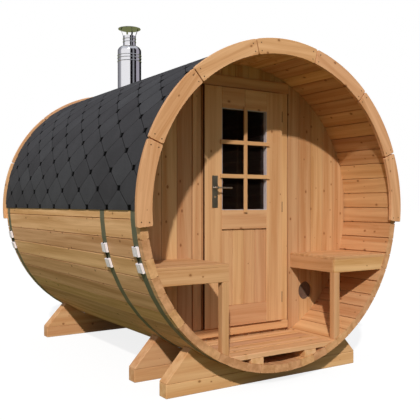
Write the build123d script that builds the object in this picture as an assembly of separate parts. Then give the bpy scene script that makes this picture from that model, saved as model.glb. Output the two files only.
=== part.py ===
from build123d import *
import math
import os

# A barrel sauna lying on three cradles. Millimetres, +Z up, the front faces -Y.
# The origin is on the ground, under the barrel's axis, half way along it.

# Barrel of straight staves, held together by steel bands.
barrel_r = 1050.0
stave_t = 50.0
stave_len = 2560.0
stave_count = 57
stave_groove = 3.0
segment_count = 12
fit = 0.3

# Cradles, measured from the front and the back end of the staves.
beam_w = 86.0
beam_h = 85.0
beam_len = 1576.0
beam_to_barrel = 2.0
block_toe_h = 6.0
block_tip_h = 9.0
block_slope_deg = 47.5
cradle_front_places = (202.0, 618.0)
cradle_back_place = 258.0

# Curved trim boards nailed on both ends of the staves.
trim_t = 27.0
trim_over = 26.0
trim_under = 22.0
trim_boards = 7
trim_below_deg = 5.7
trim_gap = 7.0
trim_corner = 8.0

# Steel bands and their tensioners, measured from the front and the back end.
band_w = 60.0
band_t = 1.5
band_front_places = (72.0, 496.0)
band_back_place = 72.0
lug_size = 60.0
lug_t = 23.0
lug_gap = 38.0
lug_bevel = 5.0
lug_below_deg = 16.0
tie_rod_r = 6.0
tie_rod_past = 14.0

# Shingle covering of the upper half.
shingle_t = 8.0
shingle_drop = 7.0

# Walls. The porch is open in front of the front wall.
porch_depth = 464.0
wall_t = 45.0
back_inset = 60.0

# Doorway and its frame, up to a clearance under the barrel's top.
doorway_w = 682.0
header_below = 90.0
jamb_w = 69.0
sill_up = 21.0
sill_h = 58.0
sill_proud = 10.0
leaf_up = 87.0
header_h = 76.0
header_proud = 12.0
stop_w = 15.0
stop_t = 21.0

# Door leaf, which stands proud of its frame.
leaf_t = 48.0
leaf_proud = 30.0
leaf_gap = 6.0
stile_w = 141.0
top_rail_h = 142.0
bottom_rail_h = 142.0
glass_h = 700.0
middle_rail_h = 96.0
glass_t = 6.0
glass_back = 8.0
glass_lap = 10.0
bar_w = 28.0
bar_t = 12.0
bar_lap = 18.0
panel_t = 20.0
panel_back = 8.0
panel_tongue = 10.0

# Hinges on the right and the lever handle on the left.
hinge_count = 3
hinge_h = 76.0
hinge_end = 127.0
knuckle_r = 7.0
pin_r = 3.5
pin_play = 0.05
knuckle_gap = 0.5
hinge_leaf_t = 2.0
hinge_leaf_w = 20.0
hinge_stand = 9.0
hinge_side = 5.0
plate_w = 45.0
plate_h = 217.0
plate_t = 3.0
plate_in = 81.0
plate_drop = 135.0
lever_up = 1041.0
neck_r = 9.0
neck_play = 0.3
neck_len = 45.0
spindle = 9.0
spindle_hole_r = 8.0
lever_len = 115.0
lever_h = 16.0
lever_t = 11.0
key_drop = 60.0
key_hole_r = 6.0

# Air vent through the front wall, above the porch floor and off the centre line.
vent_r = 68.0
vent_up = 279.0
vent_x = 589.0

# Floors on bearers, at a height above the bottom of the barrel's inside.
floor_up = 97.0
floor_t = 32.0
porch_floor_boards = 4
porch_floor_gap = 4.0
bearer_w = 98.0
bearer_x = 221.0
front_set_back = 3.0

# Porch benches.
bench_up = 570.0
seat_t = 19.0
apron_h = 90.0
apron_t = 20.0
leg_w = 48.0
bench_past_floor = 10.0

# Insulated chimney, in from the back end of the staves and up from the barrel's top.
flue_in = 319.0
flue_r = 109.0
liner_r = 59.0
liner_t = 2.0
flue_inside = 30.0
flue_up = 399.0
cone_h = 50.0
liner_up = 141.0
bead_r = 4.0
flue_bead_drops = (42.0, 67.0, 98.0)
liner_bead_drops = (28.0, 55.0)
cap_r = 104.0
cap_up = 69.0
cap_t = 3.0
cap_rise = 14.0
strap_w = 16.0
strap_t = 2.0
strap_hold = 20.0

# Worked out from the sizes above.
axis_z = beam_h + beam_to_barrel + barrel_r
bore_r = barrel_r - stave_t
stave_deg = 360.0 / stave_count
front_y = -stave_len / 2
back_y = stave_len / 2
wall_front = front_y + porch_depth
wall_back = wall_front + wall_t
back_wall_front = back_y - back_inset - wall_t
floor_z = axis_z - bore_r + floor_up
floor_half = math.sqrt(bore_r**2 - (bore_r - floor_up) ** 2)
sill_z = floor_z + sill_up
sill_top = sill_z + sill_h
leaf_z = floor_z + leaf_up
header_top = axis_z + bore_r - header_below
header_z = header_top - header_h
leaf_top = header_z - leaf_gap
doorway_half = doorway_w / 2
frame_half = doorway_half + jamb_w
leaf_half = doorway_half - leaf_gap
leaf_front = wall_front - leaf_proud
leaf_back = leaf_front + leaf_t
hinge_x = leaf_half + hinge_side + knuckle_r
hinge_y = wall_front - hinge_stand
handle_x = -leaf_half + plate_in
lever_z = floor_z + lever_up
plate_z = lever_z - plate_drop
key_z = lever_z - key_drop
bench_x = floor_half + bench_past_floor
cradle_places = [front_y + y for y in cradle_front_places] + [back_y - cradle_back_place]
band_places = [front_y + y for y in band_front_places] + [back_y - band_back_place]
roof_r = barrel_r + band_t + 2 * fit
flue_place = Pos(0, back_y - flue_in, 0)
flue_top = axis_z + barrel_r + flue_up
liner_top = flue_top + liner_up


def block(x0, x1, y0, y1, z0, z1):
    """A squared piece of timber or plate between six planes."""
    corner = (Align.MIN, Align.MIN, Align.MIN)
    return Pos(x0, y0, z0) * Box(x1 - x0, y1 - y0, z1 - z0, align=corner)


def outline(points):
    """A flat face from its corners."""
    return make_face(Polyline(*points, close=True))


def along(section, y0, length):
    """Run an (x, z) section backwards from the plane y = y0."""
    plane = Plane((0, y0, 0), x_dir=(1, 0, 0), z_dir=(0, -1, 0))
    return extrude(plane * section, amount=-length)


def window(x0, x1, z0, z1):
    """A rectangle in an (x, z) section."""
    corner = (Align.MIN, Align.MIN)
    return Pos(x0, z0) * Rectangle(x1 - x0, z1 - z0, align=corner)


def side_strip(side, x0, x1, z0, z1):
    """A rectangle beside the axis, on the right for side 1 and the left for -1."""
    low, high = sorted((side * x0, side * x1))
    return window(low, high, z0, z1)


def rim(radius, degrees):
    """A point on a circle about the barrel's axis, in the (x, z) section."""
    angle = math.radians(degrees)
    return (radius * math.cos(angle), axis_z + radius * math.sin(angle))


def stave_outline(radius):
    """A many-sided outline about the axis, with a corner at every stave joint."""
    return outline([rim(radius, i * stave_deg) for i in range(stave_count)])


def bore_section(gap):
    """The barrel's many-sided inside, made smaller by a gap."""
    return stave_outline(bore_r - gap)


def stave_edge(radius, first, last, step):
    """One face of a row of staves: flats that meet in small V grooves."""
    points = []
    for i in range(first, last, step):
        here = i * stave_deg
        there = (i + step) * stave_deg
        a = rim(radius, here)
        b = rim(radius, there)
        width = math.dist(a, b)
        share = stave_groove / width
        near = (a[0] + (b[0] - a[0]) * share, a[1] + (b[1] - a[1]) * share)
        far = (b[0] + (a[0] - b[0]) * share, b[1] + (a[1] - b[1]) * share)
        points += [near, far]
        if i + step != last:
            sink = stave_groove if radius > bore_r + stave_t / 2 else -stave_groove
            points.append(rim(radius - sink, there))
    return points


def stave_segment(first, last):
    """A run of neighbouring staves as one piece, grooved where they meet."""
    start = first * stave_deg
    end = last * stave_deg
    outer = [rim(barrel_r - stave_groove, start)]
    outer += stave_edge(barrel_r, first, last, 1)
    outer.append(rim(barrel_r - stave_groove, end))
    inner = [rim(bore_r + stave_groove, end)]
    inner += stave_edge(bore_r, last, first, -1)
    inner.append(rim(bore_r + stave_groove, start))
    return along(outline(outer + inner), front_y, stave_len)


def barrel_segments():
    """The barrel in segments, the first of them at the top, round the chimney."""
    least, extra = divmod(stave_count, segment_count)
    sizes = [least + 1] * extra + [least] * (segment_count - extra)
    first = round(stave_count / 4 - sizes[0] / 2)
    hole = flue_place * Pos(0, 0, axis_z) * Cylinder(
        flue_r + fit, 2 * barrel_r, align=(Align.CENTER, Align.CENTER, Align.MIN)
    )
    segments = []
    for size in sizes:
        segments.append(stave_segment(first, first + size) - hole)
        first += size
    return segments


def ring_sector(inner, outer, start, end):
    """A flat sector of a ring about the barrel's axis."""
    sweep = end - start
    outside = CenterArc((0, 0), outer, start, sweep)
    inside = CenterArc((0, 0), inner, start, sweep)
    sides = [Line(inside @ 0, outside @ 0), Line(inside @ 1, outside @ 1)]
    return Pos(0, axis_z) * make_face([outside, inside] + sides)


def trim(y0):
    """Curved boards round the top of one end, their corners cut off a little."""
    inner = bore_r - trim_under
    outer = barrel_r + trim_over
    sweep = (180 + 2 * trim_below_deg) / trim_boards
    half_gap = math.degrees(trim_gap / 2 / outer)
    boards = []
    for i in range(trim_boards):
        start = -trim_below_deg + i * sweep + half_gap
        end = -trim_below_deg + (i + 1) * sweep - half_gap
        board = along(ring_sector(inner, outer, start, end), y0, trim_t)
        boards.append(chamfer(board.edges().filter_by(Axis.Y), trim_corner))
    return boards


def steel_bands():
    """Flat steel hoops pulled tight round the staves."""
    section = stave_outline(barrel_r + fit + band_t) - stave_outline(barrel_r + fit)
    return [along(section, y - band_w / 2, band_w) for y in band_places]


def tensioner(y):
    """Two lugs on neighbouring flats of a band, drawn together by a threaded rod."""
    joint = round((180 + lug_below_deg) / stave_deg)
    half = math.radians(stave_deg / 2)
    seat = (barrel_r + fit + band_t) * math.cos(half) + fit
    from_joint = (lug_gap + lug_size) / 2
    slide = from_joint - seat * math.tan(half)
    lug = Box(lug_t, band_w, lug_size)
    lug = chamfer(lug.edges().filter_by(Axis.Y).group_by(Axis.X)[-1], lug_bevel)
    rod_out = (seat + lug_t / 2) / math.cos(half) - from_joint * math.sin(half)
    rod = Cylinder(tie_rod_r, 2 * from_joint + lug_size + 2 * tie_rod_past)
    pair = Rot(0, -joint * stave_deg, 0) * Pos(rod_out, 0, 0) * rod
    for side in (-1, 1):
        turn = Rot(0, -(joint + side / 2) * stave_deg, 0)
        pair += turn * Pos(seat + lug_t / 2, 0, side * slide) * lug
    return Pos(0, y, axis_z) * pair


def cradle_beams():
    """Square beams across the ground under the barrel."""
    beams = []
    for y in cradle_places:
        y0 = y - beam_w / 2
        beams.append(block(-beam_len / 2, beam_len / 2, y0, y0 + beam_w, 0, beam_h))
    return beams


def cradle_blocks():
    """Sloped blocks on the beams, hollowed to the barrel's curve."""
    seat_r = barrel_r + 2 * fit
    lift = axis_z - beam_h
    inner_x = math.sqrt(seat_r**2 - (lift - block_tip_h) ** 2)
    toe = (beam_len / 2, beam_h + block_toe_h)
    slope = math.radians(180 - block_slope_deg)
    run = beam_len / 3
    peak = (toe[0] + run * math.cos(slope), toe[1] + run * math.sin(slope))
    corners = [(inner_x, beam_h), (beam_len / 2, beam_h), toe, peak, (inner_x, peak[1])]
    section = outline(corners) - Pos(0, axis_z) * Circle(seat_r)
    blocks = []
    for y in cradle_places:
        right = along(section, y - beam_w / 2, beam_w)
        blocks += [right, mirror(right, about=Plane.YZ)]
    return blocks


def shingle_skin():
    """The bitumen shingles as one skin over the upper half of the barrel."""
    ring = stave_outline(roof_r + shingle_t) - stave_outline(roof_r)
    low = axis_z - shingle_drop
    section = ring & window(-2 * barrel_r, 2 * barrel_r, low, axis_z + 2 * barrel_r)
    hole = flue_place * Pos(0, 0, axis_z + barrel_r) * Cylinder(flue_r + fit, barrel_r)
    return along(section, front_y, stave_len) - hole


def wall_piece(x0, x1, z0, z1):
    """One part of the front wall, its outer edge cut to the barrel's inside."""
    section = bore_section(fit) & window(x0, x1, z0, z1)
    return along(section, wall_front, wall_t)


def front_walls():
    """The front wall in four parts round the door frame."""
    low = axis_z - barrel_r
    high = axis_z + barrel_r
    vent = along(Pos(vent_x, floor_z + vent_up) * Circle(vent_r), wall_front, wall_t)
    return {
        "front_wall_left": wall_piece(-barrel_r, -frame_half, low, high),
        "front_wall_right": wall_piece(frame_half, barrel_r, low, high) - vent,
        "front_wall_over_door": wall_piece(-frame_half, frame_half, header_top, high),
        "front_wall_under_door": wall_piece(-frame_half, frame_half, low, sill_z),
    }


def jambs():
    """Two posts beside the door, each with a stop that the leaf closes against."""
    stop_y = wall_back - stop_t
    post = block(doorway_half, frame_half, wall_front, wall_back, sill_top, header_z)
    stop_x = doorway_half - stop_w
    post += block(stop_x, doorway_half, stop_y, wall_back, sill_top, header_z)
    return [post, mirror(post, about=Plane.YZ)]


def header():
    """The board over the doorway."""
    y0 = wall_front - header_proud
    return block(-frame_half, frame_half, y0, wall_back, header_z, header_top)


def sill():
    """The threshold board under the doorway."""
    y0 = wall_front - sill_proud
    return block(-frame_half, frame_half, y0, wall_back, sill_z, sill_top)


def leaf_openings():
    """Heights of the two openings in the leaf: panel bottom, top, glass bottom, top."""
    panel_z = leaf_z + bottom_rail_h
    glass_top = leaf_top - top_rail_h
    glass_z = glass_top - glass_h
    return panel_z, glass_z - middle_rail_h, glass_z, glass_top


def door_leaf():
    """Stiles and rails with a rebate for the glass, a groove for the panel."""
    panel_z, panel_top, glass_z, glass_top = leaf_openings()
    inner = leaf_half - stile_w
    leaf = block(-leaf_half, leaf_half, leaf_front, leaf_back, leaf_z, leaf_top)
    leaf -= block(-inner, inner, leaf_front, leaf_back, glass_z, glass_top)
    lap = inner + glass_lap
    rebate_y = leaf_back - glass_back - glass_t
    rebate = block(-lap, lap, rebate_y, leaf_back, glass_z - glass_lap, glass_top + glass_lap)
    leaf -= rebate
    leaf -= block(-inner, inner, leaf_front, leaf_back, panel_z, panel_top)
    tongue = inner + panel_tongue
    groove_y = leaf_front + panel_back
    low = panel_z - panel_tongue
    high = panel_top + panel_tongue
    leaf -= block(-tongue, tongue, groove_y, groove_y + panel_t, low, high)
    turn = Rot(90, 0, 0)
    middle = (leaf_front + leaf_back) / 2
    bore = Pos(handle_x, middle, lever_z) * turn
    leaf -= bore * Cylinder(spindle_hole_r, 2 * leaf_t)
    key = Pos(handle_x, middle, key_z) * turn
    return leaf - key * Cylinder(key_hole_r, 2 * leaf_t)


def door_glass():
    """One sheet of glass in the leaf's rebate."""
    glass_z, glass_top = leaf_openings()[2:]
    half = leaf_half - stile_w + glass_lap - fit
    y0 = leaf_back - glass_back - glass_t
    low = glass_z - glass_lap + fit
    high = glass_top + glass_lap - fit
    return block(-half, half, y0, y0 + glass_t, low, high)


def glazing_beads():
    """Thin strips that hold the glass from inside."""
    glass_z, glass_top = leaf_openings()[2:]
    inner = leaf_half - stile_w
    half = inner + glass_lap - fit
    y0 = leaf_back - glass_back
    low = glass_z - glass_lap + fit
    high = glass_top + glass_lap - fit
    frame = block(-half, half, y0, leaf_back, low, high)
    return frame - block(-inner, inner, y0, leaf_back, glass_z, glass_top)


def glazing_bars():
    """The grid of bars laid on the leaf's face, over the glass."""
    glass_z, glass_top = leaf_openings()[2:]
    reach = leaf_half - stile_w + bar_lap
    y0 = leaf_front - bar_t
    low = glass_z - bar_lap
    high = glass_top + bar_lap
    grid = block(-bar_w / 2, bar_w / 2, y0, leaf_front, low, high)
    for share in (1 / 3, 2 / 3):
        z = glass_z + glass_h * share
        grid += block(-reach, reach, y0, leaf_front, z - bar_w / 2, z + bar_w / 2)
    return grid


def door_panel():
    """The boarded panel in the lower part of the leaf."""
    panel_z, panel_top = leaf_openings()[:2]
    half = leaf_half - stile_w + panel_tongue - fit
    y0 = leaf_front + panel_back
    low = panel_z - panel_tongue + fit
    high = panel_top + panel_tongue - fit
    return block(-half, half, y0 + fit, y0 + panel_t - fit, low, high)


def hinge_heights():
    """The lower edge of each hinge, evenly spaced up the leaf."""
    lowest = leaf_z + hinge_end
    highest = leaf_top - hinge_end - hinge_h
    step = (highest - lowest) / (hinge_count - 1)
    return [lowest + i * step for i in range(hinge_count)]


def jamb_hinges():
    """The half of each hinge on the jamb: the lower knuckle, the pin and a plate inside."""
    halves = []
    half_h = hinge_h / 2
    foot = (Align.CENTER, Align.CENTER, Align.MIN)
    for z in hinge_heights():
        place = Pos(hinge_x, hinge_y, z)
        knuckle_h = half_h - knuckle_gap
        half = place * Cylinder(knuckle_r, knuckle_h, align=foot)
        half += place * Cylinder(pin_r, hinge_h, align=foot)
        plate_x = doorway_half - hinge_leaf_t
        plate_y = wall_front + hinge_leaf_w
        half += block(plate_x, doorway_half, hinge_y, plate_y, z, z + knuckle_h)
        half += block(plate_x, hinge_x, hinge_y, hinge_y + hinge_leaf_t, z, z + knuckle_h)
        halves.append(half)
    return halves


def leaf_hinges():
    """The half of each hinge on the leaf: a plate on its edge and the upper knuckle."""
    halves = []
    half_h = hinge_h / 2
    foot = (Align.CENTER, Align.CENTER, Align.MIN)
    for z in hinge_heights():
        z0 = z + half_h + knuckle_gap
        place = Pos(hinge_x, hinge_y, z0)
        knuckle_h = half_h - knuckle_gap
        half = place * Cylinder(knuckle_r, knuckle_h, align=foot)
        plate_x = leaf_half + hinge_leaf_t
        plate_y = hinge_y + hinge_leaf_t
        half += block(leaf_half, plate_x, leaf_front + hinge_leaf_t, plate_y, z0, z + hinge_h)
        half += block(leaf_half, hinge_x, hinge_y, plate_y, z0, z + hinge_h)
        half -= place * Cylinder(pin_r + pin_play, knuckle_h, align=foot)
        halves.append(half)
    return halves


def handle_plates():
    """A long plate on each face of the leaf, round the lever's neck."""
    turn = Rot(90, 0, 0)
    plates = []
    for y0 in (leaf_front - plate_t, leaf_back):
        x0 = handle_x - plate_w / 2
        plate = block(x0, x0 + plate_w, y0, y0 + plate_t, plate_z, plate_z + plate_h)
        neck = Pos(handle_x, y0, lever_z) * turn
        plate -= neck * Cylinder(neck_r + neck_play, 4 * plate_t)
        key = Pos(handle_x, y0, key_z) * turn
        plates.append(plate - key * Cylinder(key_hole_r, 4 * plate_t))
    return plates


def lever():
    """A lever on each side of the door, joined by a square spindle through it."""
    z = lever_z
    turn = Rot(90, 0, 0)
    out_y = leaf_front - fit - neck_len
    in_y = leaf_back + fit
    handle = block(
        handle_x - spindle / 2,
        handle_x + spindle / 2,
        out_y,
        in_y + neck_len,
        z - spindle / 2,
        z + spindle / 2,
    )
    for y0, bar_y in ((out_y, out_y), (in_y, in_y + neck_len - lever_t)):
        handle += Pos(handle_x, y0 + neck_len / 2, z) * turn * Cylinder(neck_r, neck_len)
        grip = block(
            handle_x,
            handle_x + lever_len,
            bar_y,
            bar_y + lever_t,
            z - lever_h / 2,
            z + lever_h / 2,
        )
        handle += grip
    return handle


def back_wall():
    """The closed back wall, a disc cut to the barrel's inside."""
    return along(bore_section(fit), back_wall_front, wall_t)


def floor_section():
    """The floor's thickness across the barrel."""
    return bore_section(fit) & window(-bore_r, bore_r, floor_z - floor_t, floor_z)


def porch_floor():
    """Boards across the porch."""
    start = front_y + front_set_back
    depth = wall_front - start
    pitch = (depth + porch_floor_gap) / porch_floor_boards
    width = pitch - porch_floor_gap
    return [along(floor_section(), start + i * pitch, width) for i in range(porch_floor_boards)]


def room_floor():
    """The floor of the room, from wall to wall."""
    return along(floor_section(), wall_back, back_wall_front - wall_back)


def floor_bearers():
    """Flat bearers under both floors, shaped to the barrel underneath."""
    low = axis_z - barrel_r
    high = floor_z - floor_t
    x0 = bearer_x - bearer_w / 2
    start = front_y + front_set_back
    runs = ((start, wall_front - start), (wall_back, back_wall_front - wall_back))
    bearers = []
    for side in (-1, 1):
        section = bore_section(fit) & side_strip(side, x0, x0 + bearer_w, low, high)
        bearers += [along(section, y0, length) for y0, length in runs]
    return bearers


def bench_seats():
    """A seat on each side of the porch, cut to the barrel at the side."""
    top = floor_z + bench_up
    start = front_y + front_set_back
    seats = []
    for side in (-1, 1):
        strip = side_strip(side, bench_x, barrel_r, top - seat_t, top)
        seats.append(along(bore_section(fit) & strip, start, wall_front - start))
    return seats


def bench_aprons():
    """Boards on edge under the front and the inner side of each seat."""
    top = floor_z + bench_up - seat_t
    start = front_y + front_set_back
    low = top - apron_h
    aprons = []
    back_start = start + apron_t
    for side in (-1, 1):
        front = bore_section(fit) & side_strip(side, bench_x, barrel_r, low, top)
        inner = side_strip(side, bench_x, bench_x + apron_t, low, top)
        aprons.append(along(front, start, apron_t))
        aprons.append(along(inner, back_start, wall_front - back_start))
    return aprons


def bench_legs():
    """A post under the corner where the aprons meet, down to the barrel."""
    top = floor_z + bench_up - seat_t - apron_h
    start = front_y + front_set_back
    low = axis_z - barrel_r
    legs = []
    for side in (-1, 1):
        strip = side_strip(side, bench_x, bench_x + leg_w, low, top)
        legs.append(along(bore_section(fit) & strip, start, leg_w))
    return legs


def beaded_pipe(outer, inner, low, high, beads):
    """A round pipe with raised beads rolled round it near the top."""
    side = [(inner, low), (outer, low)]
    for drop in sorted(beads, reverse=True):
        z = high - drop
        side += [(outer, z - bead_r), (outer + bead_r, z), (outer, z + bead_r)]
    side += [(outer, high), (inner, high)]
    return flue_place * revolve(Plane.XZ * outline(side), Axis.Z)


def chimney_outer_pipe():
    """The insulated pipe through the barrel's top."""
    low = axis_z + bore_r - flue_inside
    return beaded_pipe(flue_r, liner_r + fit, low, flue_top, flue_bead_drops)


def chimney_liner():
    """The inner pipe, which stands out above the insulated one."""
    low = axis_z + bore_r - flue_inside
    return beaded_pipe(liner_r, liner_r - liner_t, low, liner_top, liner_bead_drops)


def chimney_cone():
    """The cone that closes the insulation round the inner pipe."""
    foot = (Align.CENTER, Align.CENTER, Align.MIN)
    cone = Cone(flue_r, liner_r + fit + liner_t, cone_h, align=foot)
    core = Cylinder(liner_r + fit, 3 * cone_h)
    return flue_place * Pos(0, 0, flue_top) * (cone - core)


def chimney_cap():
    """A shallow cone on four straps over the end of the inner pipe."""
    rim_low = cap_up - cap_t
    side = [(0, rim_low), (cap_r, rim_low), (cap_r, cap_up), (0, cap_up + cap_rise)]
    lid = revolve(Plane.XZ * outline(side), Axis.Z)
    strap_x = liner_r + fit + strap_t / 2
    strap_h = rim_low + strap_hold
    for i in range(4):
        strap = Pos(strap_x, 0, (rim_low - strap_hold) / 2) * Box(strap_t, strap_w, strap_h)
        lid += Rot(0, 0, 45 + 90 * i) * strap
    return flue_place * Pos(0, 0, liner_top) * lid


def save(name, pieces):
    """Write one sub-part, a single solid or a list of solids."""
    shapes = pieces if isinstance(pieces, list) else [pieces]
    solids = [solid for shape in shapes for solid in shape.solids()]
    whole = solids[0] if len(solids) == 1 else Compound(children=solids)
    export_step(whole, "parts/" + name + ".step")


os.makedirs("parts", exist_ok=True)

for number, segment in enumerate(barrel_segments(), start=1):
    save(f"barrel_staves_{number:02d}", segment)
for name, piece in front_walls().items():
    save(name, piece)

save("front_trim", trim(front_y - trim_t))
save("back_trim", trim(back_y))
save("steel_bands", steel_bands())
save("band_tensioners", [tensioner(y) for y in band_places])
save("cradle_beams", cradle_beams())
save("cradle_blocks", cradle_blocks())
save("roof_shingles", shingle_skin())
save("back_wall", back_wall())
save("door_jambs", jambs())
save("door_header", header())
save("door_sill", sill())
save("door_leaf", door_leaf())
save("door_glass", door_glass())
save("door_glazing_beads", glazing_beads())
save("door_glazing_bars", glazing_bars())
save("door_panel", door_panel())
save("door_jamb_hinges", jamb_hinges())
save("door_leaf_hinges", leaf_hinges())
save("door_handle_plates", handle_plates())
save("door_lever", lever())
save("porch_floor", porch_floor())
save("room_floor", room_floor())
save("floor_bearers", floor_bearers())
save("bench_seats", bench_seats())
save("bench_aprons", bench_aprons())
save("bench_legs", bench_legs())
save("chimney_outer_pipe", chimney_outer_pipe())
save("chimney_liner", chimney_liner())
save("chimney_cone", chimney_cone())
save("chimney_cap", chimney_cap())
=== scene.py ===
import bpy, bmesh, math, random
from mathutils import Matrix, Vector


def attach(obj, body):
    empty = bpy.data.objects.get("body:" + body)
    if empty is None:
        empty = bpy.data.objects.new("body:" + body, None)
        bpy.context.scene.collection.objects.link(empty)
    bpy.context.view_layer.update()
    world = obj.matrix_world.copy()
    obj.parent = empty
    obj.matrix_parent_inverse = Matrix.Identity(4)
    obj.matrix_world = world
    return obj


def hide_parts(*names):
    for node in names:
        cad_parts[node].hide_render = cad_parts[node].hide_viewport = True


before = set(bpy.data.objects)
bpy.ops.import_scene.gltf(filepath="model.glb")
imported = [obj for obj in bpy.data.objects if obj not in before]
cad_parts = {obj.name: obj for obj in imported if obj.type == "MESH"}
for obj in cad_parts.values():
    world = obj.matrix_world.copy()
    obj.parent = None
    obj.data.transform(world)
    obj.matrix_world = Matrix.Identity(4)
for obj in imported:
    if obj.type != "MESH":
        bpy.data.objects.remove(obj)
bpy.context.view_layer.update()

# ---------------------------------------- cradles
# Three cradles of planed spruce carry the barrel. Each is a square beam on the
# ground with a sloped block glued and screwed to either end, hollowed to the
# barrel's curve.


def srgb(code):
    """A hex colour as the linear values that a shader takes."""
    parts = [int(code[i:i + 2], 16) / 255 for i in (1, 3, 5)]
    linear = [v / 12.92 if v <= 0.04045 else ((v + 0.055) / 1.055) ** 2.4 for v in parts]
    return (*linear, 1.0)


def add(tree, kind, inputs=None, **settings):
    """One shader node with its settings, its constant inputs and its links."""
    made = tree.nodes.new("ShaderNode" + kind)
    for name, value in settings.items():
        setattr(made, name, value)
    for name, value in (inputs or {}).items():
        socket = made.inputs[name]
        if isinstance(value, bpy.types.NodeSocket):
            tree.links.new(value, socket)
        else:
            socket.default_value = value
    return made


def material(name):
    """An empty material with its output node."""
    made = bpy.data.materials.new(name)
    made.use_nodes = True
    made.node_tree.nodes.clear()
    return made, made.node_tree


def finish_material(tree, shader):
    """Joins the last shader to the material's output."""
    add(tree, "OutputMaterial", {"Surface": shader})


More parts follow.
